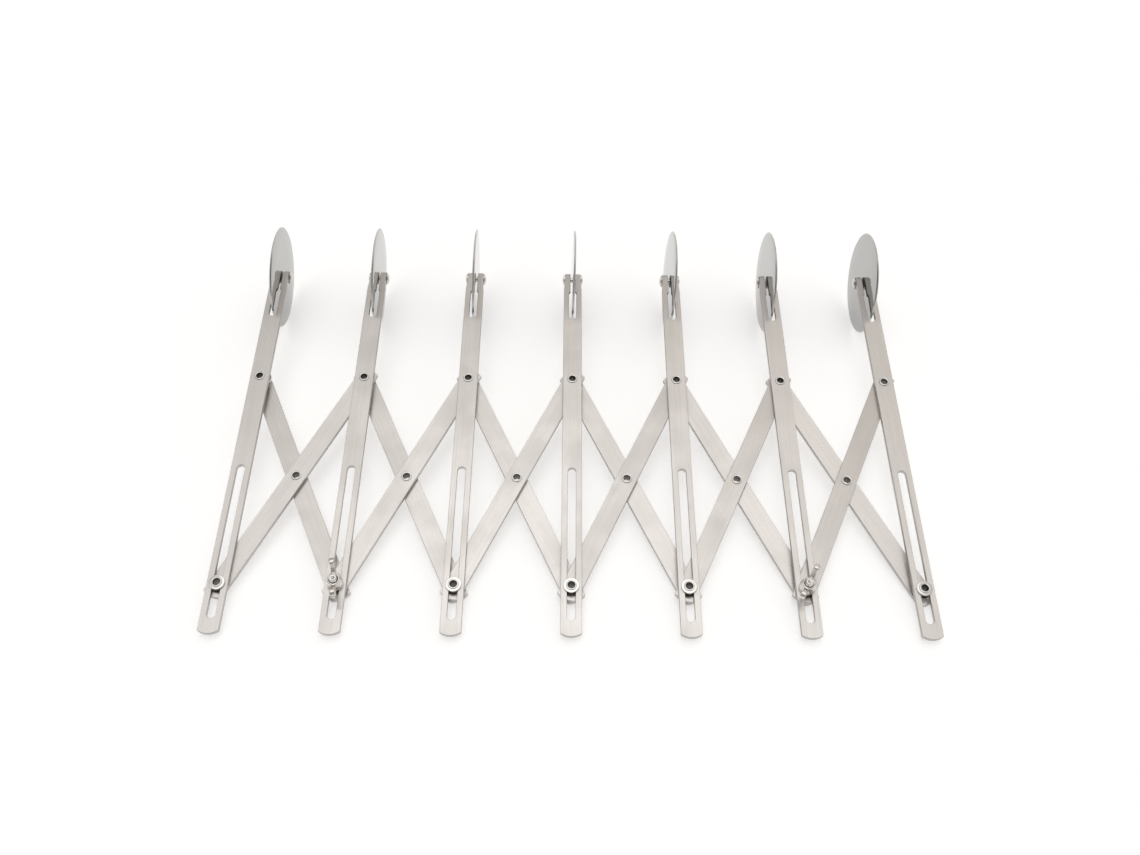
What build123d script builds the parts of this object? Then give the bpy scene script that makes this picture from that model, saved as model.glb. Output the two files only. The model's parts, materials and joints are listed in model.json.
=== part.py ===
from build123d import *
import os
from math import asin, atan2, cos, degrees, hypot, radians, sin, sqrt

# An expanding pastry cutter: seven cutter wheels on seven parallel arms.  Crossed bars join the
# arms into a lazy-tongs frame, so one push or pull sets the same distance between all wheels.
#
# The pieces are modelled in the "flat" frame, where the arms lie in the plane Z = 0 (their upper
# faces), run along Y with the wheels towards +Y, and the pivot of the middle arm is the origin.
# At the end everything is tilted about X into the resting pose: the wheel rims and the heads of
# the two clamp screws stand on the plane Z = 0.  All sizes are in millimetres.

# ---- frame -----------------------------------------------------------------------------------
ARM_COUNT = 7
MIDDLE_ARM = 4
ARM_SPACING = 54.0        # distance between neighbouring wheels at rest
LINK_LENGTH = 127.7       # distance between the two end holes of a cross bar

# ---- bars ------------------------------------------------------------------------------------
BAR_WIDTH = 9.7
BAR_THICKNESS = 2.0
LAYER_GAP = 0.05          # air between stacked bars
CROSS_END = 6.3           # cross bar length beyond its end holes
CROSS_SAGITTA = 1.3       # rise of the shallow arc that ends a cross bar
CROSS_CORNER = 0.5
EDGE_CHAMFER = 0.15
HOLE_RADIUS = 2.0

# ---- wheel arm, as distances from its pivot hole -----------------------------------------------
HANDLE_END = 140.0
HANDLE_SAGITTA = 1.6      # rise of the arc that ends the handle
HANDLE_CORNER = 0.4
LONG_SLOT = (-132.7, -53.3)
SHORT_SLOT = (39.7, 59.2)
SLOT_WIDTH = 4.0
SLIT_WIDTH = 2.6
FORK_WIDTH = 8.7
FORK_TAPER = (60.0, 65.5)
AXLE_Y = 69.5
EYE_RADIUS = 3.5          # outside of the rolled eye
EYE_END_ANGLE = 160.0     # where the rolled end stops, seen along -X

# ---- cutter wheel and axle ---------------------------------------------------------------------
WHEEL_RADIUS = 27.5
WHEEL_THICKNESS = 1.1
WHEEL_EDGE = 0.25         # thickness left at the rim
WHEEL_BEVEL = 2.0
WHEEL_BORE = 1.5
AXLE_RADIUS = 1.45
AXLE_HEAD_RADIUS = 2.95
AXLE_HEAD_HEIGHT = 1.2
AXLE_HEAD_RIM = 0.3
AXLE_SHOULDER = (2.5, 0.15)   # radius and height of the step under the head

# ---- tubular rivets, washers and spacers -------------------------------------------------------
RIVET_RADIUS = 1.95
RIVET_BORE = 1.65
RIVET_RIM_RADIUS = 2.55
RIVET_RIM_HEIGHT = 0.5
WASHER_RADIUS = 3.65
WASHER_THICKNESS = 1.0
WASHER_CHAMFER = 0.2
PIVOT_SPACER_RADIUS = 5.4
SLIDER_SPACER_RADIUS = 3.9

# ---- clamp screws and wing nuts ----------------------------------------------------------------
SCREW_ARMS = (2, 6)
SCREW_RADIUS = 1.9
SCREW_HEAD_RADIUS = 3.5
SCREW_HEAD_RIM = 0.5
SCREW_HEAD_DOME = 0.8
SCREW_END = 1.6           # screw left standing above the nut
SCREW_CHAMFER = 0.5
NUT_BORE = 1.95
NUT_BASE_RADIUS = 3.75
NUT_BASE_HEIGHT = 0.8     # upright part of the hub below its cone
NUT_TOP_RADIUS = 2.9
NUT_HEIGHT = 4.5
WING_HEIGHT = 8.4
WING_SPAN = 19.0
WING_THICKNESS = 2.0
WING_TIP_RADIUS = 2.1
WING_TIP_ARC = (-50.0, 35.0, 125.0)   # where the round tip of a wing starts, passes and ends, degrees
WING_FOOT = 1.0           # height at which the lower edge of a wing leaves the hub
WING_HOLLOW = 0.55        # dip of the upper edge of a wing below a straight line
WING_ROUNDING = 0.42      # edge radius of a wing over its thickness
WING_TURN = {2: 8.0, 6: -30.0}    # how far each nut is turned from the line of its arm, degrees

# ---- values that follow ------------------------------------------------------------------------
SPREAD = degrees(asin(ARM_SPACING / LINK_LENGTH))     # angle between an arm and its cross bars
SLIDER_Y = -LINK_LENGTH * cos(radians(SPREAD))
AXLE_Z = -EYE_RADIUS
LAYER_STEP = BAR_THICKNESS + LAYER_GAP
UPPER_TOP = -LAYER_STEP               # upper face of the upper cross bars
LOWER_TOP = -2 * LAYER_STEP           # upper face of the lower cross bars
UPPER_BOTTOM = UPPER_TOP - BAR_THICKNESS
LOWER_BOTTOM = LOWER_TOP - BAR_THICKNESS
WASHER_TOP = LAYER_GAP + WASHER_THICKNESS
NUT_SEAT = WASHER_TOP + LAYER_GAP
TOLERANCE = 0.01                      # for telling which edges lie at a height

# The resting tilt makes the domed screw heads and the wheel rims touch one plane.
DOME_RADIUS = (SCREW_HEAD_RADIUS**2 + SCREW_HEAD_DOME**2) / (2 * SCREW_HEAD_DOME)
DOME_CENTRE_Z = LOWER_BOTTOM - LAYER_GAP - SCREW_HEAD_RIM - SCREW_HEAD_DOME + DOME_RADIUS
REACH_Y, REACH_Z = AXLE_Y - SLIDER_Y, AXLE_Z - DOME_CENTRE_Z
TILT = degrees(
    asin((WHEEL_RADIUS - DOME_RADIUS) / hypot(REACH_Y, REACH_Z)) - atan2(REACH_Z, REACH_Y)
)
TILT_SIN, TILT_COS = sin(radians(TILT)), cos(radians(TILT))
FAR_Y = AXLE_Y * TILT_COS - AXLE_Z * TILT_SIN + WHEEL_RADIUS
NEAR_Y = -HANDLE_END * TILT_COS + EDGE_CHAMFER * TILT_SIN
LIFT = WHEEL_RADIUS - AXLE_Y * TILT_SIN - AXLE_Z * TILT_COS
REST = Location((0, -(FAR_Y + NEAR_Y) / 2, LIFT), (TILT, 0, 0))


def arm_x(arm):
    """X of an arm, numbered 1 to 7 from the left."""
    return (arm - MIDDLE_ARM) * ARM_SPACING


def closed_face(*lines):
    """Face inside a closed outline of lines, polylines and arcs."""
    return Face(Wire([edge for line in lines for edge in line.edges()]))


def revolved(*lines):
    """Solid of revolution about Z from an outline drawn as (radius, height)."""
    return revolve(Plane.XZ * closed_face(*lines), Axis.Z)


def disc(radius, bottom, top):
    """Round solid on the Z axis."""
    return Pos(0, 0, (bottom + top) / 2) * Cylinder(radius, top - bottom)


def slot_cutter(y_low, y_high, width):
    """Round-ended cutter along Y, through everything in Z."""
    length = y_high - y_low
    outline = Pos(0, (y_low + y_high) / 2) * Rot(0, 0, 90) * SlotOverall(length, width)
    return extrude(outline, amount=4 * EYE_RADIUS, both=True)


def lies_at(edge, height):
    box = edge.bounding_box()
    return box.min.Z > height - TOLERANCE and box.max.Z < height + TOLERANCE


def chamfer_flat_edges(bar):
    """Break the edges of both flat faces of a bar, leaving out the seam where an eye begins."""
    flat = [edge for edge in bar.edges() if lies_at(edge, 0) or lies_at(edge, -BAR_THICKNESS)]
    return chamfer([edge for edge in flat if abs(edge.center().Y - AXLE_Y) > TOLERANCE], EDGE_CHAMFER)


# ---- bars --------------------------------------------------------------------------------------
def wheel_arm():
    """Flat bar with two slots.  Its far end is slit and rolled down into an eye for the axle."""
    half, fork, far = BAR_WIDTH / 2, FORK_WIDTH / 2, AXLE_Y + 2 * EYE_RADIUS
    corner_y = HANDLE_SAGITTA - HANDLE_END
    plan = closed_face(
        ThreePointArc((-half, corner_y), (0, -HANDLE_END), (half, corner_y)),
        Polyline(
            (half, corner_y), (half, FORK_TAPER[0]), (fork, FORK_TAPER[1]), (fork, far),
            (-fork, far), (-fork, FORK_TAPER[1]), (-half, FORK_TAPER[0]), (-half, corner_y),
        ),
    )
    plan = fillet(plan.vertices().group_by(Axis.Y)[0], HANDLE_CORNER)

    def on_eye(radius, angle):
        return AXLE_Y + radius * cos(radians(angle)), AXLE_Z + radius * sin(radians(angle))

    inside = EYE_RADIUS - BAR_THICKNESS
    top, bottom, last = 90, -55, EYE_END_ANGLE
    side = closed_face(
        Line((-HANDLE_END, 0), on_eye(EYE_RADIUS, top)),
        ThreePointArc(on_eye(EYE_RADIUS, top), on_eye(EYE_RADIUS, bottom), on_eye(EYE_RADIUS, last)),
        Line(on_eye(EYE_RADIUS, last), on_eye(inside, last)),
        ThreePointArc(on_eye(inside, last), on_eye(inside, bottom), on_eye(inside, top)),
        Polyline(on_eye(inside, top), (-HANDLE_END, -BAR_THICKNESS), (-HANDLE_END, 0)),
    )
    arm = extrude(Plane.YZ * side, amount=BAR_WIDTH, both=True)
    arm &= extrude(plan, amount=BAR_WIDTH, both=True)
    arm -= slot_cutter(*LONG_SLOT, SLOT_WIDTH)
    arm -= slot_cutter(*SHORT_SLOT, SLOT_WIDTH)
    slit_start = SHORT_SLOT[1] - SLOT_WIDTH / 2
    arm -= Pos(0, (slit_start + far) / 2, 0) * Box(SLIT_WIDTH, far - slit_start, 4 * EYE_RADIUS)
    arm -= disc(HOLE_RADIUS, -BAR_WIDTH, BAR_WIDTH)
    return chamfer_flat_edges(arm)


def cross_bar():
    """Flat bar along Y with three holes, centred on its middle hole, upper face at Z = 0."""
    half, end = BAR_WIDTH / 2, LINK_LENGTH / 2 + CROSS_END
    corner_y = end - CROSS_SAGITTA
    plan = closed_face(
        ThreePointArc((-half, -corner_y), (0, -end), (half, -corner_y)),
        Line((half, -corner_y), (half, corner_y)),
        ThreePointArc((half, corner_y), (0, end), (-half, corner_y)),
        Line((-half, corner_y), (-half, -corner_y)),
    )
    plan = fillet(plan.vertices(), CROSS_CORNER)
    bar = extrude(plan, amount=-BAR_THICKNESS)
    for y in (-LINK_LENGTH / 2, 0, LINK_LENGTH / 2):
        bar -= Pos(0, y, 0) * disc(HOLE_RADIUS, -BAR_WIDTH, BAR_WIDTH)
    return chamfer_flat_edges(bar)


# ---- wheel and axle ----------------------------------------------------------------------------
def cutter_wheel():
    """Thin disc on the X axis with a bevelled cutting edge."""
    half, edge, shoulder = WHEEL_THICKNESS / 2, WHEEL_EDGE / 2, WHEEL_RADIUS - WHEEL_BEVEL
    wheel = revolved(Polyline(
        (WHEEL_BORE, -half), (shoulder, -half), (WHEEL_RADIUS, -edge), (WHEEL_RADIUS, edge),
        (shoulder, half), (WHEEL_BORE, half), (WHEEL_BORE, -half),
    ))
    return Rot(0, 90, 0) * wheel


def wheel_axle():
    """Rivet along X: a pin with a domed head on each side of the eye."""
    shoulder_radius, shoulder_height = AXLE_SHOULDER
    seat = FORK_WIDTH / 2 + LAYER_GAP
    under = seat + shoulder_height
    crown = under + AXLE_HEAD_RIM
    top = under + AXLE_HEAD_HEIGHT
    dome_radius = (AXLE_HEAD_RADIUS**2 + (top - crown) ** 2) / (2 * (top - crown))
    bulge_radius = AXLE_HEAD_RADIUS / 2
    bulge = top - dome_radius + sqrt(dome_radius**2 - bulge_radius**2)
    stem = [
        (AXLE_HEAD_RADIUS, crown), (AXLE_HEAD_RADIUS, under), (shoulder_radius, under),
        (shoulder_radius, seat), (AXLE_RADIUS, seat),
    ]
    pin = revolved(
        ThreePointArc((0, top), (bulge_radius, bulge), (AXLE_HEAD_RADIUS, crown)),
        Polyline(*stem, *[(radius, -height) for radius, height in reversed(stem)]),
        ThreePointArc((AXLE_HEAD_RADIUS, -crown), (bulge_radius, -bulge), (0, -top)),
        Line((0, -top), (0, top)),
    )
    return Rot(0, 90, 0) * pin


# ---- fasteners ---------------------------------------------------------------------------------
def tubular_rivet(top, bottom):
    """Hollow rivet whose rolled rims bear at the two heights given."""
    crest = (RIVET_BORE + RIVET_RIM_RADIUS) / 2
    return revolved(
        Line((RIVET_BORE, bottom), (RIVET_BORE, top)),
        ThreePointArc((RIVET_BORE, top), (crest, top + RIVET_RIM_HEIGHT), (RIVET_RIM_RADIUS, top)),
        Polyline(
            (RIVET_RIM_RADIUS, top), (RIVET_RADIUS, top), (RIVET_RADIUS, bottom), (RIVET_RIM_RADIUS, bottom),
        ),
        ThreePointArc((RIVET_RIM_RADIUS, bottom), (crest, bottom - RIVET_RIM_HEIGHT), (RIVET_BORE, bottom)),
    )


def ring(radius, bottom, top):
    """Washer or spacer around a rivet, with broken edges."""
    plain = disc(radius, bottom, top) - disc(HOLE_RADIUS, bottom, top)
    rim = plain.edges().filter_by(GeomType.CIRCLE).group_by(SortBy.RADIUS)[-1]
    return chamfer(rim, WASHER_CHAMFER)


def slide_washer():
    return ring(WASHER_RADIUS, LAYER_GAP, WASHER_TOP)


def clamp_screw():
    """Screw with a low domed head below the bars and a chamfered end above the wing nut."""
    under = LOWER_BOTTOM - LAYER_GAP
    rim = under - SCREW_HEAD_RIM
    apex = rim - SCREW_HEAD_DOME
    end = NUT_SEAT + NUT_HEIGHT + SCREW_END
    middle = SCREW_HEAD_RADIUS / 2
    dome_at_middle = DOME_CENTRE_Z - sqrt(DOME_RADIUS**2 - middle**2)
    return revolved(
        Polyline(
            (0, apex), (0, end), (SCREW_RADIUS - SCREW_CHAMFER, end), (SCREW_RADIUS, end - SCREW_CHAMFER),
            (SCREW_RADIUS, under), (SCREW_HEAD_RADIUS, under), (SCREW_HEAD_RADIUS, rim),
        ),
        ThreePointArc((SCREW_HEAD_RADIUS, rim), (middle, dome_at_middle), (0, apex)),
    )


def wing_nut():
    """Nut with a conical hub and two rounded ears along Y, seated at Z = 0."""
    hub = revolved(Polyline(
        (0, 0), (NUT_BASE_RADIUS, 0), (NUT_BASE_RADIUS, NUT_BASE_HEIGHT), (NUT_TOP_RADIUS, NUT_HEIGHT),
        (0, NUT_HEIGHT), (0, 0),
    ))
    tip_y, tip_z = WING_SPAN / 2 - WING_TIP_RADIUS, WING_HEIGHT - WING_TIP_RADIUS

    under, outer, crest = [
        (tip_y + WING_TIP_RADIUS * cos(radians(angle)), tip_z + WING_TIP_RADIUS * sin(radians(angle)))
        for angle in WING_TIP_ARC
    ]
    root = (NUT_BORE, NUT_HEIGHT - WING_ROUNDING * WING_THICKNESS)
    dip = ((root[0] + crest[0]) / 2 + WING_HOLLOW, (root[1] + crest[1]) / 2 - WING_HOLLOW)
    outline = closed_face(
        Line((NUT_BORE, WING_FOOT), under),
        ThreePointArc(under, outer, crest),
        ThreePointArc(crest, dip, root),
        Line(root, (NUT_BORE, WING_FOOT)),
    )
    wing = extrude(Plane.YZ * outline, amount=WING_THICKNESS / 2, both=True)
    rounded = [edge for edge in wing.edges() if edge.bounding_box().max.Y > NUT_BASE_RADIUS]
    wing = fillet(rounded, WING_ROUNDING * WING_THICKNESS)
    nut = hub + wing + Rot(0, 0, 180) * wing
    return nut - disc(NUT_BORE, -WING_HEIGHT, WING_HEIGHT)


# ---- the assembly ------------------------------------------------------------------------------
def build_nodes():
    """Every node in the flat frame: name -> list of its solids."""
    nodes = {}
    arm, wheel, axle, bar = wheel_arm(), cutter_wheel(), wheel_axle(), cross_bar()
    below_all, below_upper = LOWER_BOTTOM - LAYER_GAP, UPPER_BOTTOM - LAYER_GAP

    for number in range(1, ARM_COUNT + 1):
        pivot = Pos(arm_x(number), 0, 0)
        slider = Pos(arm_x(number), SLIDER_Y, 0)
        hub = Pos(arm_x(number), AXLE_Y, AXLE_Z)
        nodes[f"wheel_arm_{number}"] = [pivot * arm]
        nodes[f"cutter_wheel_{number}"] = [hub * wheel]
        nodes[f"wheel_axle_{number}"] = [hub * axle]

        # The last arm has no lower cross bar at its pivot, and the first none at its slider.
        pivot_bottom = below_upper if number == ARM_COUNT else below_all
        nodes[f"pivot_rivet_{number}"] = [pivot * tubular_rivet(LAYER_GAP, pivot_bottom)]
        if number in SCREW_ARMS:
            nodes[f"clamp_screw_{number}"] = [slider * clamp_screw(), slider * slide_washer()]
            turned = Pos(0, 0, NUT_SEAT) * Rot(0, 0, WING_TURN[number])
            nodes[f"wing_nut_{number}"] = [slider * turned * wing_nut()]
        else:
            slider_bottom = below_upper if number == 1 else below_all
            rivet = tubular_rivet(WASHER_TOP, slider_bottom)
            nodes[f"slide_rivet_{number}"] = [slider * rivet, slider * slide_washer()]

    centre_rivet = tubular_rivet(UPPER_TOP + LAYER_GAP, below_all)
    for number in range(1, ARM_COUNT):
        middle = Pos((arm_x(number) + arm_x(number + 1)) / 2, SLIDER_Y / 2, 0)
        nodes[f"upper_cross_bar_{number}"] = [middle * Pos(0, 0, UPPER_TOP) * Rot(0, 0, -SPREAD) * bar]
        nodes[f"lower_cross_bar_{number}"] = [middle * Pos(0, 0, LOWER_TOP) * Rot(0, 0, SPREAD) * bar]
        nodes[f"centre_rivet_{number}"] = [middle * centre_rivet]

    pivot_spacer = ring(PIVOT_SPACER_RADIUS, UPPER_BOTTOM, UPPER_TOP)
    slider_spacer = ring(SLIDER_SPACER_RADIUS, UPPER_BOTTOM, UPPER_TOP)
    nodes["pivot_spacer_1"] = [Pos(arm_x(1), 0, 0) * pivot_spacer]
    nodes["slider_spacer_7"] = [Pos(arm_x(ARM_COUNT), SLIDER_Y, 0) * slider_spacer]
    return nodes


def export_nodes(nodes):
    os.makedirs("parts", exist_ok=True)
    for name, solids in nodes.items():
        placed = [REST * solid for solid in solids]
        shape = placed[0] if len(placed) == 1 else Compound(children=placed)
        shape.label = name
        export_step(shape, f"parts/{name}.step")


export_nodes(build_nodes())
print(f"spread {SPREAD:.3f} deg, slider {SLIDER_Y:.3f} mm, tilt {TILT:.4f} deg, {REST}")
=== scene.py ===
import bpy
import json
from math import cos, pi, radians, sin, sqrt
from mathutils import Matrix, Quaternion, Vector


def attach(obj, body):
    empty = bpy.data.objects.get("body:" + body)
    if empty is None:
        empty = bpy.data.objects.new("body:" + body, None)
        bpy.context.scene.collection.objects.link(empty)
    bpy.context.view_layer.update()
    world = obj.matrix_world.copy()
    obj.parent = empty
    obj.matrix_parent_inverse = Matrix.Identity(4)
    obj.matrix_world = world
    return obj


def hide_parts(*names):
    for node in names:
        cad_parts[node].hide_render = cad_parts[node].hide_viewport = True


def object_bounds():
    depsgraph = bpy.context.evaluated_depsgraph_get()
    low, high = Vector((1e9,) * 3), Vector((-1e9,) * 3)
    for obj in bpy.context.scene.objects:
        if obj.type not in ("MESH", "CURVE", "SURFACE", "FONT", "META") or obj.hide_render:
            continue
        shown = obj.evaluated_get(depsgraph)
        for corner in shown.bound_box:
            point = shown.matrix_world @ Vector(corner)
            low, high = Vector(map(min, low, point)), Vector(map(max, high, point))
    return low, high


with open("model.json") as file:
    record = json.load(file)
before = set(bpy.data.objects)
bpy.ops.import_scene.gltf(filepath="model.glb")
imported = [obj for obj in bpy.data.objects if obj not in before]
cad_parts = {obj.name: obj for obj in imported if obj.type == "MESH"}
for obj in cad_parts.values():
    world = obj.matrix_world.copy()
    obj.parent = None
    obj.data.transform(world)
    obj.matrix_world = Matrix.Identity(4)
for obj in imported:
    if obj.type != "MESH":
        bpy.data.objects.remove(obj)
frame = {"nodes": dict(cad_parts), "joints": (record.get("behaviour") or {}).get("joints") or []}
cad_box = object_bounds()

MM = 0.001
ARMS = range(1, 8)
LINKS = range(1, 7)
SCREW_ARMS = (2, 6)
joints = {joint["name"]: joint for joint in frame["joints"]}

# ---- the flat frame of the bars: X across, Y along the arms, Z off their upper faces -------------
ARM_SPACING = 54.0
LINK_LENGTH = 127.7
AXLE_Y, AXLE_Z = 69.5, -3.5
SLIDER_Y = -sqrt(LINK_LENGTH**2 - ARM_SPACING**2)
PLANE_NORMAL = Vector(joints["accordion"]["axis"]).normalized()
ARM_ALONG = PLANE_NORMAL.cross(Vector((1, 0, 0)))
FLAT_TURN = Matrix((Vector((1, 0, 0)), ARM_ALONG, PLANE_NORMAL)).transposed()


def flat_place(arm, along, height):
    """World place of a point given in millimetres from the pivot of an arm (1 to 7, halves between)."""
    axle = Vector(joints["wheel_4_spin"]["pos_m"])
    side = Vector(((arm - 4) * ARM_SPACING * MM, 0, 0))
    return axle + side + ARM_ALONG * (along - AXLE_Y) * MM + PLANE_NORMAL * (height - AXLE_Z) * MM


def bar_direction(kind):
    """Unit vector along the lower or the upper cross bars."""
    across = ARM_SPACING if kind == "upper" else -ARM_SPACING
    return (Vector((across, 0, 0)) - ARM_ALONG * SLIDER_Y).normalized()


# ---- node helpers ------------------------------------------------------------------------------
def add_node(tree, kind, inputs=None, **settings):
    """Add a shader node. An input given as a socket is linked, anything else is set."""
    node = tree.nodes.new(kind)
    for key, value in settings.items():
        setattr(node, key, value)
    for key, value in (inputs or {}).items():
        if isinstance(value, bpy.types.NodeSocket):
            tree.links.new(value, node.inputs[key])
        else:
            node.inputs[key].default_value = value
    return node


def new_material(name):
    """An empty material and its tree, with the output and a Principled shader."""
    material = bpy.data.materials.new(name)
    material.use_nodes = True
    tree = material.node_tree
    tree.nodes.clear()
    output = tree.nodes.new("ShaderNodeOutputMaterial")
    shader = tree.nodes.new("ShaderNodeBsdfPrincipled")
    tree.links.new(shader.outputs["BSDF"], output.inputs["Surface"])
    return material, tree, shader


def math_node(tree, operation, first, second=0.0, clamp=False):
    node = add_node(tree, "ShaderNodeMath", {0: first, 1: second}, operation=operation, use_clamp=clamp)
    return node.outputs[0]


def dot_node(tree, vector, axis):
    node = add_node(tree, "ShaderNodeVectorMath", {0: vector, 1: axis}, operation="DOT_PRODUCT")
    return node.outputs["Value"]


def noise_node(tree, vector, scale, detail=2.0, roughness=0.5):
    node = add_node(
        tree, "ShaderNodeTexNoise",
        {"Vector": vector, "Scale": scale, "Detail": detail, "Roughness": roughness},
    )
    return node.outputs["Fac"]


def range_node(tree, value, from_low, from_high, to_low, to_high):
    node = add_node(
        tree, "ShaderNodeMapRange",
        {"Value": value, "From Min": from_low, "From Max": from_high, "To Min": to_low, "To Max": to_high},
        interpolation_type="SMOOTHSTEP",
    )
    return node.outputs["Result"]


def mix_colour(tree, factor, first, second):
    node = add_node(tree, "ShaderNodeMix", data_type="RGBA")
    for socket, value in ((node.inputs[0], factor), (node.inputs[6], first), (node.inputs[7], second)):
        if isinstance(value, bpy.types.NodeSocket):
            tree.links.new(value, socket)
        else:
            socket.default_value = value
    return node.outputs[2]


def distance_from_axis(tree, place):
    """Distance from the Z axis of a turned piece."""
    flat = add_node(tree, "ShaderNodeVectorMath", {0: place, 1: (1, 1, 0)}, operation="MULTIPLY").outputs[0]
    return add_node(tree, "ShaderNodeVectorMath", {0: flat}, operation="LENGTH").outputs["Value"]


# ---- materials ---------------------------------------------------------------------------------
def brushed_steel(name, along):
    """Stainless bar brushed along its length, with plainer cut sides."""
    material, tree, shader = new_material(name)
    across = PLANE_NORMAL.cross(along).normalized()
    coordinates = add_node(tree, "ShaderNodeTexCoord")
    place = coordinates.outputs["Object"]
    lengthwise = dot_node(tree, place, along)
    crosswise = dot_node(tree, place, across)
    upward = dot_node(tree, place, PLANE_NORMAL)

    def streaks(width, length, detail=2.0):
        stretched = add_node(tree, "ShaderNodeCombineXYZ", {
            "X": math_node(tree, "MULTIPLY", crosswise, 1 / width),
            "Y": math_node(tree, "MULTIPLY", lengthwise, 1 / length),
            "Z": math_node(tree, "MULTIPLY", upward, 1 / width),
        })
        return noise_node(tree, stretched.outputs[0], 1.0, detail)

    fine = streaks(0.10 * MM, 9 * MM)
    broad = streaks(0.7 * MM, 40 * MM)
    patches = noise_node(tree, place, 45.0, 3.0)
    facing = dot_node(tree, coordinates.outputs["Normal"], PLANE_NORMAL)
    side = range_node(tree, math_node(tree, "ABSOLUTE", facing), 0.5, 0.9, 1.0, 0.0)

    fine_part = math_node(tree, "MULTIPLY", fine, 0.45)
    tone = math_node(tree, "ADD", fine_part, math_node(tree, "MULTIPLY", broad, 0.55))
    streak = range_node(tree, tone, 0.3, 0.7, 0, 1)
    face = mix_colour(tree, streak, (0.625, 0.596, 0.575, 1), (0.682, 0.652, 0.632, 1))
    colour = mix_colour(tree, side, face, (0.50, 0.485, 0.47, 1))
    roughness = math_node(
        tree, "ADD", range_node(tree, fine, 0.3, 0.7, 0.27, 0.34),
        range_node(tree, patches, 0.35, 0.7, -0.03, 0.05),
    )
    roughness = math_node(tree, "ADD", roughness, math_node(tree, "MULTIPLY", side, 0.08))
    tree.links.new(colour, shader.inputs["Base Color"])
    tree.links.new(roughness, shader.inputs["Roughness"])
    shader.inputs["Metallic"].default_value = 1.0
    shader.inputs["Anisotropic"].default_value = 0.85
    grain = add_node(tree, "ShaderNodeCombineXYZ", {"X": across.x, "Y": across.y, "Z": across.z})
    turned = add_node(
        tree, "ShaderNodeVectorTransform", {0: grain.outputs[0]},
        vector_type="VECTOR", convert_from="OBJECT", convert_to="WORLD",
    )
    tree.links.new(turned.outputs[0], shader.inputs["Tangent"])
    bump = add_node(
        tree, "ShaderNodeBump", {"Height": tone, "Strength": 0.08, "Distance": 0.02 * MM},
    )
    tree.links.new(bump.outputs[0], shader.inputs["Normal"])
    return material


def polished_disc():
    """Mirror-polished wheel with a ground cutting edge."""
    material, tree, shader = new_material("polished_wheel_steel")
    place = add_node(tree, "ShaderNodeTexCoord").outputs["Object"]
    radius = distance_from_axis(tree, place)
    rings = add_node(tree, "ShaderNodeCombineXYZ", {
        "X": math_node(tree, "MULTIPLY", radius, 1 / (0.08 * MM)),
    })
    ring_noise = noise_node(tree, rings.outputs[0], 1.0, 2.0)
    haze = noise_node(tree, place, 90.0, 4.0, 0.6)
    ground = range_node(tree, radius, 26.7 * MM, 26.9 * MM, 0.0, 1.0)
    plain = mix_colour(tree, haze, (0.375, 0.372, 0.365, 1), (0.41, 0.407, 0.40, 1))
    colour = mix_colour(tree, ground, plain, (0.50, 0.495, 0.486, 1))
    polish = range_node(tree, haze, 0.35, 0.7, 0.015, 0.045)
    edge = range_node(tree, ring_noise, 0.3, 0.7, 0.18, 0.34)
    roughness = add_node(
        tree, "ShaderNodeMix", {0: ground, 2: polish, 3: edge}, data_type="FLOAT",
    ).outputs[0]
    tree.links.new(colour, shader.inputs["Base Color"])
    tree.links.new(roughness, shader.inputs["Roughness"])
    shader.inputs["Metallic"].default_value = 1.0
    bump = add_node(tree, "ShaderNodeBump", {
        "Height": math_node(tree, "MULTIPLY", ring_noise, ground), "Strength": 0.15, "Distance": 0.01 * MM,
    })
    tree.links.new(bump.outputs[0], shader.inputs["Normal"])
    return material


def polished_steel(name, colour_low, colour_high, roughness_low, roughness_high, grain_size, bump_strength):
    """Bright metal of the small parts, with faint handling marks."""
    material, tree, shader = new_material(name)
    place = add_node(tree, "ShaderNodeTexCoord").outputs["Object"]
    marks = noise_node(tree, place, 1 / grain_size, 3.0, 0.6)
    colour = mix_colour(tree, range_node(tree, marks, 0.35, 0.65, 0, 1), colour_low, colour_high)
    roughness = range_node(tree, marks, 0.3, 0.7, roughness_low, roughness_high)
    tree.links.new(colour, shader.inputs["Base Color"])
    tree.links.new(roughness, shader.inputs["Roughness"])
    shader.inputs["Metallic"].default_value = 1.0
    bump = add_node(tree, "ShaderNodeBump", {
        "Height": marks, "Strength": bump_strength, "Distance": 0.03 * MM,
    })
    tree.links.new(bump.outputs[0], shader.inputs["Normal"])
    return material


def turned_rivet(name):
    """Hollow rivet or washer: bright outside, with painted shade darkening its bore, which is also rougher.
    """
    material, tree, shader = new_material(name)
    place = add_node(tree, "ShaderNodeTexCoord").outputs["Object"]
    marks = noise_node(tree, place, 1 / (0.5 * MM), 2.0, 0.5)
    rings = add_node(tree, "ShaderNodeCombineXYZ", {
        "X": math_node(tree, "MULTIPLY", distance_from_axis(tree, place), 1 / (0.06 * MM)),
    })
    turning = noise_node(tree, rings.outputs[0], 1.0, 1.0)
    # painted shade: this mask darkens the colour inside the bore to stand for the shade in the hole; the
    # added roughness there is real
    bore = range_node(tree, distance_from_axis(tree, place), 1.66 * MM, 1.80 * MM, 1.0, 0.0)
    bright = mix_colour(tree, marks, (0.68, 0.67, 0.65, 1), (0.76, 0.75, 0.73, 1))
    # the dark colour mixed in here is painted shade for the inside of the bore
    colour = mix_colour(tree, bore, bright, (0.15, 0.142, 0.132, 1))
    roughness = math_node(
        tree, "ADD", range_node(tree, turning, 0.3, 0.7, 0.10, 0.18),
        math_node(tree, "MULTIPLY", bore, 0.25),
    )
    tree.links.new(colour, shader.inputs["Base Color"])
    tree.links.new(roughness, shader.inputs["Roughness"])
    shader.inputs["Metallic"].default_value = 1.0
    bump = add_node(tree, "ShaderNodeBump", {"Height": turning, "Strength": 0.12, "Distance": 0.01 * MM})
    tree.links.new(bump.outputs[0], shader.inputs["Normal"])
    return material


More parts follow.
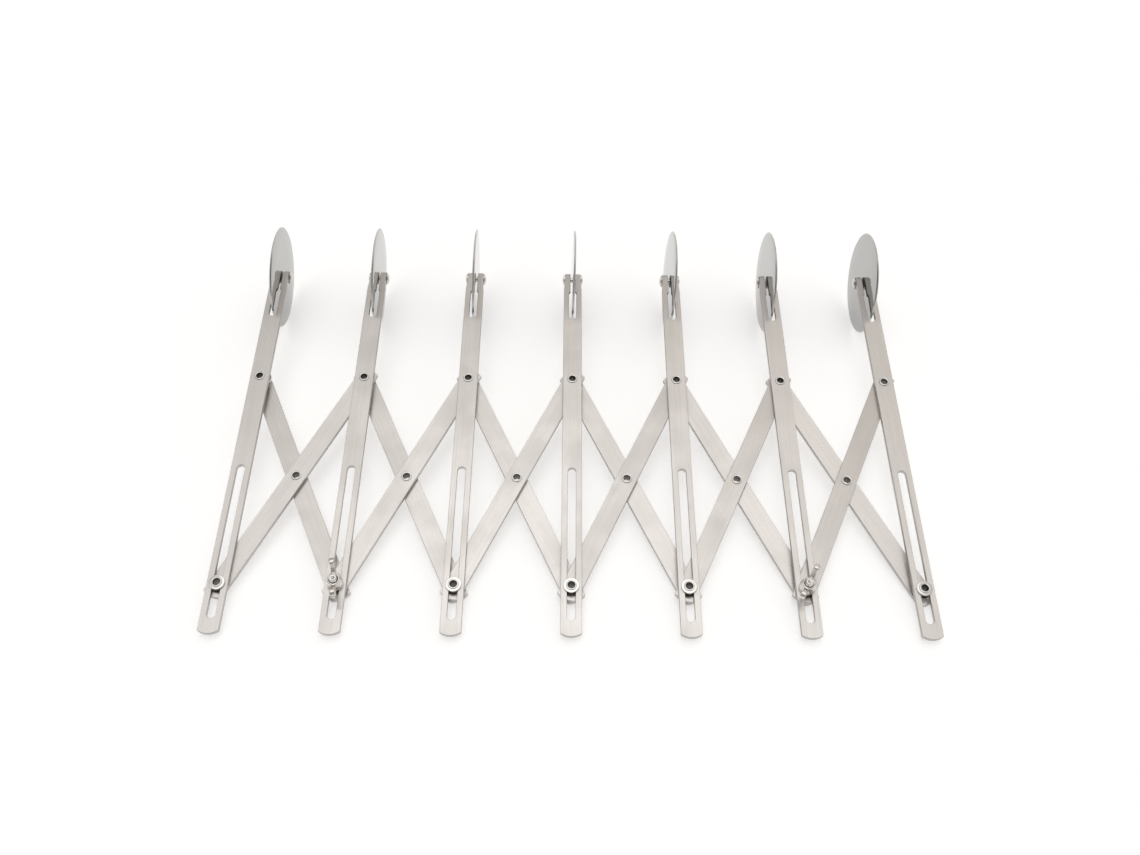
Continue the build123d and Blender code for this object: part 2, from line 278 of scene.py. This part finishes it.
arm_steel = brushed_steel("brushed_arm_steel", ARM_ALONG)
lower_steel = brushed_steel("brushed_lower_bar_steel", bar_direction("lower"))
upper_steel = brushed_steel("brushed_upper_bar_steel", bar_direction("upper"))
wheel_steel = polished_disc()
rivet_steel = turned_rivet("turned_rivet_steel")
axle_steel = polished_steel(
    "polished_axle_steel", (0.54, 0.53, 0.51, 1), (0.64, 0.63, 0.61, 1), 0.07, 0.14, 0.9 * MM, 0.12,
)
nut_steel = polished_steel(
    "tumbled_nut_steel", (0.55, 0.515, 0.485, 1), (0.70, 0.675, 0.645, 1), 0.16, 0.30, 0.8 * MM, 0.4,
)

FINISHES = {
    "wheel_arm": arm_steel, "lower_cross_bar": lower_steel, "upper_cross_bar": upper_steel,
    "cutter_wheel": wheel_steel, "wing_nut": nut_steel, "wheel_axle": axle_steel, "clamp_screw": axle_steel,
}
for node_name, node in frame["nodes"].items():
    for node_slot in node.material_slots:
        node_slot.link = "OBJECT"
        node_slot.material = FINISHES.get(node_name.rstrip("_1234567"), axle_steel)


# ---- turned pieces -----------------------------------------------------------------------------
def arc(centre_radius, centre_height, half_width, half_height, start, end, steps=12):
    """Points on an ellipse as (radius, height); angles in degrees from straight outwards."""
    turns = [radians(start + (end - start) * step / steps) for step in range(steps + 1)]
    return [
        (centre_radius + half_width * cos(turn), centre_height + half_height * sin(turn)) for turn in turns
    ]


def turned_piece(name, profile, material, segments=72, closed=True, thread=None):
    """Mesh of revolution about its own Z axis from (radius, height) points in millimetres."""
    vertices, rows, faces = [], [], []
    for radius, height in profile:
        if radius == 0:
            rows.append([len(vertices)] * segments)
            vertices.append((0, 0, height * MM))
            continue
        rows.append(range(len(vertices), len(vertices) + segments))
        for step in range(segments):
            turn = 2 * pi * step / segments
            reach = thread(radius, height, turn) if thread else radius
            vertices.append((reach * cos(turn) * MM, reach * sin(turn) * MM, height * MM))
    pairs = list(zip(rows, rows[1:])) + ([(rows[-1], rows[0])] if closed else [])
    for low, high in pairs:
        for step in range(segments):
            after = (step + 1) % segments
            loop = [low[step], low[after], high[after], high[step]]
            faces.append(list(dict.fromkeys(loop)))
    mesh = bpy.data.meshes.new(name)
    mesh.from_pydata(vertices, [], faces)
    mesh.validate()
    mesh.update()
    mesh.shade_smooth()
    mesh.set_sharp_from_angle(angle=radians(38))
    mesh.materials.append(material)
    piece = bpy.data.objects.new(name, mesh)
    bpy.context.scene.collection.objects.link(piece)
    return piece


def set_down(piece, place, turn, body):
    """Put a piece at a world place and let it move with a body."""
    piece.matrix_world = Matrix.Translation(place) @ turn.to_4x4()
    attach(piece, body)


def slider_body(arm):
    """The body that carries the pin in an arm's long slot."""
    return "upper_link_1" if arm == 1 else f"lower_link_{arm - 1}"


# ---- cutter wheels -----------------------------------------------------------------------------
WHEEL_LEAN = {1: 3.1, 2: 3.1, 3: 2.4, 4: 2.2, 5: 2.8, 6: 0.7, 7: 1.2}    # degrees, top towards +X
WHEEL_RADIUS, WHEEL_HALF, WHEEL_EDGE, WHEEL_SHOULDER, WHEEL_BORE = 27.5, 0.55, 0.12, 26.8, 1.5


def make_wheels():
    side = [
        (WHEEL_BORE, WHEEL_HALF - 0.06), (WHEEL_BORE + 0.06, WHEEL_HALF), (8.0, WHEEL_HALF),
        (17.0, WHEEL_HALF), (WHEEL_SHOULDER - 0.3, WHEEL_HALF), (WHEEL_SHOULDER, WHEEL_HALF - 0.03),
        (WHEEL_RADIUS - 0.25, WHEEL_EDGE + 0.1), (WHEEL_RADIUS - 0.05, WHEEL_EDGE),
    ]
    profile = [(radius, -height) for radius, height in side] + [(WHEEL_RADIUS, 0)] + side[::-1]
    for arm in ARMS:
        wheel = turned_piece(f"wheel_disc_{arm}", profile, wheel_steel, segments=240)
        turn = Matrix.Rotation(radians(90 + WHEEL_LEAN[arm]), 3, "Y")
        set_down(wheel, flat_place(arm, AXLE_Y, AXLE_Z), turn, f"wheel_{arm}")
        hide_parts(f"cutter_wheel_{arm}")


# ---- rivets, washers and screws ----------------------------------------------------------------
LAYER_GAP, LAYER_STEP, BAR_THICKNESS = 0.05, 2.05, 2.0
WASHER_TOP = 1.05
BELOW_UPPER = -LAYER_STEP - BAR_THICKNESS - LAYER_GAP
BELOW_ALL = -2 * LAYER_STEP - BAR_THICKNESS - LAYER_GAP


def rivet(name, top, bottom):
    """Hollow rivet with a rolled rim bearing at each of the two heights."""
    bore, shank, crest, lip = 1.65, 1.95, 2.1, 0.45
    rise, thick, lift = 0.17, 0.33, 0.02
    profile = [(bore, (top + bottom) / 2)]
    profile += arc(crest, top + rise, lip, thick, 180, -35, 16)
    profile += [(shank, top + lift), (shank, bottom - lift)]
    profile += arc(crest, bottom - rise, lip, thick, 35, -180, 16)
    return turned_piece(name, profile, rivet_steel)


def washer(name):
    inner, outer, edge, bevel = 2.0, 3.65, 0.22, 0.12
    low, high = LAYER_GAP + edge, WASHER_TOP - edge
    profile = [(inner, low), (inner, WASHER_TOP - bevel), (inner + bevel, WASHER_TOP)]
    profile += arc(outer - edge, high, edge, edge, 90, 0, 5)
    profile += arc(outer - edge, low, edge, edge, 0, -90, 5)
    profile += [(inner + bevel, LAYER_GAP)]
    return turned_piece(name, profile, rivet_steel, segments=96)


def make_rivets():
    for arm in ARMS:
        bottom = BELOW_UPPER if arm == 7 else BELOW_ALL
        piece = rivet(f"pivot_rivet_turned_{arm}", LAYER_GAP, bottom)
        set_down(piece, flat_place(arm, 0, 0), FLAT_TURN, f"arm_{arm}")
        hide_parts(f"pivot_rivet_{arm}")
    for link in LINKS:
        piece = rivet(f"centre_rivet_turned_{link}", LAYER_GAP - LAYER_STEP, BELOW_ALL)
        set_down(piece, flat_place(link + 0.5, SLIDER_Y / 2, 0), FLAT_TURN, f"lower_link_{link}")
        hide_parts(f"centre_rivet_{link}")
    for arm in ARMS:
        ring = washer(f"slide_washer_{arm}")
        set_down(ring, flat_place(arm, SLIDER_Y, 0), FLAT_TURN, slider_body(arm))
        if arm in SCREW_ARMS:
            piece = screw(f"threaded_screw_{arm}")
            replaced = f"clamp_screw_{arm}"
        else:
            bottom = BELOW_UPPER if arm == 1 else BELOW_ALL
            piece = rivet(f"slide_rivet_turned_{arm}", WASHER_TOP, bottom)
            replaced = f"slide_rivet_{arm}"
        set_down(piece, flat_place(arm, SLIDER_Y, 0), FLAT_TURN, slider_body(arm))
        for replacement in (piece, ring):
            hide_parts(replaced)


SCREW_RADIUS, SCREW_TOP, THREAD_START = 1.9, 7.2, 3.0
THREAD_PITCH, THREAD_DEPTH = 0.7, 0.24
SCREW_END_BEVEL = 0.42


def thread_reach(radius, height, turn):
    """Radius of the screw's surface: a V thread that starts inside the nut."""
    if height < THREAD_START or radius < SCREW_RADIUS - 0.5:
        return radius
    phase = (height / THREAD_PITCH - turn / (2 * pi)) % 1.0
    return min(radius, SCREW_RADIUS - THREAD_DEPTH * abs(2 * phase - 1))


def screw(name):
    """Clamp screw: low domed head below the bars, threaded end with a dimple above the nut."""
    under, head, rim, dome, bevel = BELOW_ALL, 3.5, 0.5, 0.8, 0.1
    curve = (head**2 + dome**2) / (2 * dome)
    lowest = under - rim - dome
    profile = [(0, lowest)]
    for step in range(1, 9):
        reach = (head - bevel) * step / 8
        profile.append((reach, lowest + curve - sqrt(curve**2 - reach**2)))
    profile += [(head, under - rim + bevel / 2), (head, under - bevel)]
    profile += [(head - bevel, under), (SCREW_RADIUS, under)]
    steps = 44
    for step in range(steps + 1):
        height = THREAD_START + (SCREW_TOP - THREAD_START) * step / steps
        profile.append((min(SCREW_RADIUS, SCREW_RADIUS - SCREW_END_BEVEL + SCREW_TOP - height), height))
    dimple = [(1.1, 0.02), (0.75, 0), (0.45, -0.22), (0, -0.3)]
    profile += [(radius, SCREW_TOP + rise) for radius, rise in dimple]
    return turned_piece(name, profile, axle_steel, closed=False, thread=thread_reach)


# ---- wing nuts ---------------------------------------------------------------------------------
NUT_SEAT, NUT_HEIGHT, NUT_BORE = 1.1, 4.5, 2.08
EAR_ROOT, EAR_TIP = 1.0, 1.35                # half thickness of an ear at the hub and at its end
EAR_START, EAR_REACH = 2.3, 7.2              # where an ear begins, inside the hub, and how long it is
EAR_CENTRE, EAR_RADII = (7.35, 6.3), (2.15, 2.1)    # the round end of an ear
NUT_VOXEL = 0.15                             # grain of the mesh that joins hub and ears
NUT_SMOOTHING = 28                           # rounds of smoothing that wear its edges
NUT_TURN = {2: 8.0, 6: -30.0}                # degrees from the line of the arm


def add_ear(vertices, faces, side):
    """One ear of a wing nut, thicker towards its round end, on the side given by +1 or -1."""
    tip = arc(*EAR_CENTRE, *EAR_RADII, -50, 125, 14)
    outline = [(EAR_START, 1.0), (4.2, 2.1)] + tip
    outline += [(4.9, 6.2), (3.9, 4.9), (2.9, 4.2), (EAR_START, 4.0)]
    start = len(vertices)
    for face in (1, -1):
        for along, height in outline:
            half = EAR_ROOT + (EAR_TIP - EAR_ROOT) * (along - EAR_START) / EAR_REACH
            vertices.append((face * side * half * MM, side * along * MM, height * MM))
    count = len(outline)
    faces.append([start + step for step in range(count)])
    faces.append([start + count + step for step in reversed(range(count))])
    for step in range(count):
        after = (step + 1) % count
        faces.append([start + after, start + step, start + count + step, start + count + after])


def make_nuts():
    """Wing nuts whose hub and ears run into each other, as in a cast piece."""
    foot, neck = 3.75, 2.95
    hub = [
        (NUT_BORE, 0), (foot - 0.1, 0), (foot, 0.15), (foot, 0.8),
        (neck, NUT_HEIGHT - 0.15), (neck - 0.15, NUT_HEIGHT), (NUT_BORE, NUT_HEIGHT),
    ]
    for arm in SCREW_ARMS:
        nut = turned_piece(f"cast_wing_nut_{arm}", hub, nut_steel)
        vertices = [tuple(vertex.co) for vertex in nut.data.vertices]
        faces = [list(face.vertices) for face in nut.data.polygons]
        for side in (1, -1):
            add_ear(vertices, faces, side)
        mesh = bpy.data.meshes.new(nut.name)
        mesh.from_pydata(vertices, [], faces)
        mesh.materials.append(nut_steel)
        nut.data = mesh
        remesh = nut.modifiers.new("cast", "REMESH")
        remesh.mode = "VOXEL"
        remesh.voxel_size = NUT_VOXEL * MM
        remesh.use_smooth_shade = True
        smooth = nut.modifiers.new("worn", "SMOOTH")
        smooth.factor = 0.5
        smooth.iterations = NUT_SMOOTHING
        turn = FLAT_TURN @ Matrix.Rotation(radians(NUT_TURN[arm]), 3, "Z")
        set_down(nut, flat_place(arm, SLIDER_Y, NUT_SEAT), turn, f"nut_{arm}")
        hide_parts(f"wing_nut_{arm}")


make_wheels()
make_rivets()
make_nuts()

# ---- floor, light and camera -------------------------------------------------------------------
FLOOR_SIZE = 8.0
FLOOR_TONE, FLOOR_GLOW = 0.9, 0.38           # the floor gives off some light, so that it shows as white


def make_floor():
    bpy.ops.mesh.primitive_plane_add(size=FLOOR_SIZE, location=(0, 0, cad_box[0].z))
    floor = bpy.context.object
    floor.name = "floor"
    material, tree, shader = new_material("floor_white")
    shader.inputs["Roughness"].default_value = 0.9
    shader.inputs["Specular IOR Level"].default_value = 0.1
    shader.inputs["Base Color"].default_value = (FLOOR_TONE, FLOOR_TONE, FLOOR_TONE, 1)
    shader.inputs["Emission Color"].default_value = (1, 1, 1, 1)
    shader.inputs["Emission Strength"].default_value = FLOOR_GLOW
    floor.data.materials.append(material)


# sky colour by height, from the horizon (0) to straight up (1)
SKY_STOPS = [
    (0.0, (1.15, 1.15, 1.15)), (0.35, (0.95, 0.94, 0.92)),
    (0.75, (0.775, 0.735, 0.68)), (1.0, (0.80, 0.775, 0.735)),
]
# bright and dark areas: direction, where each begins and is full, how strong it gets, colour
SKY_AREAS = [
    (Vector((-0.12, 0.10, 0.985)).normalized(), 0.845, 0.975, 1.0, (1.75, 1.74, 1.71, 1)),
    (Vector((-0.9, 0.3, 0)), 0.14, 0.52, 0.68, (0.32, 0.315, 0.31, 1)),
    (Vector((0.85, -0.5, 0)), 0.0, 0.38, 0.45, (0.40, 0.39, 0.375, 1)),
    (Vector((0, -0.92, 0.38)).normalized(), 0.60, 0.93, 1.0, (0.40, 0.40, 0.405, 1)),
]


def make_world():
    """A soft light overhead with darker areas left, right and behind; the camera sees plain white."""
    world = bpy.data.worlds.new("studio")
    bpy.context.scene.world = world
    world.use_nodes = True
    tree = world.node_tree
    tree.nodes.clear()
    direction = add_node(tree, "ShaderNodeTexCoord").outputs["Generated"]
    height = dot_node(tree, direction, (0, 0, 1))
    ramp = add_node(tree, "ShaderNodeValToRGB", {"Fac": height})
    while len(ramp.color_ramp.elements) < len(SKY_STOPS):
        ramp.color_ramp.elements.new(0.5)
    for element, (position, colour) in zip(ramp.color_ramp.elements, SKY_STOPS):
        element.position = position
        element.color = (*colour, 1)
    lit = ramp.outputs["Color"]
    for towards, begins, full, strength, colour in SKY_AREAS:
        closeness = dot_node(tree, direction, towards)
        amount = range_node(tree, closeness, begins, full, 0.0, strength)
        lit = mix_colour(tree, amount, lit, colour)
    seen = add_node(tree, "ShaderNodeLightPath").outputs["Is Camera Ray"]
    shown = mix_colour(tree, seen, lit, (1, 1, 1, 1))
    background = add_node(tree, "ShaderNodeBackground", {"Color": shown, "Strength": 1.0})
    output = tree.nodes.new("ShaderNodeOutputWorld")
    tree.links.new(background.outputs[0], output.inputs["Surface"])


CAMERA_PLACE = Vector((-0.00387, -0.33412, 0.41247))
CAMERA_ELEVATION = radians(50.453)
CAMERA_HEADING = radians(0.493)
CAMERA_ROLL = radians(0.934)
CAMERA_LENS = 32.075
SENSOR_WIDTH = 36.0


def make_camera():
    data = bpy.data.cameras.new("camera")
    data.lens = CAMERA_LENS
    data.sensor_width = SENSOR_WIDTH
    data.sensor_fit = "HORIZONTAL"
    data.clip_start = 0.01
    camera = bpy.data.objects.new("camera", data)
    bpy.context.scene.collection.objects.link(camera)
    level = cos(CAMERA_ELEVATION)
    forward = Vector((level * sin(CAMERA_HEADING), level * cos(CAMERA_HEADING), -sin(CAMERA_ELEVATION)))
    camera.rotation_mode = "QUATERNION"
    upright = forward.to_track_quat("-Z", "Y")
    camera.rotation_quaternion = upright @ Quaternion((0, 0, 1), CAMERA_ROLL)
    camera.location = CAMERA_PLACE
    bpy.context.scene.camera = camera


make_floor()
make_world()
make_camera()
bpy.context.scene.view_settings.view_transform = "Standard"
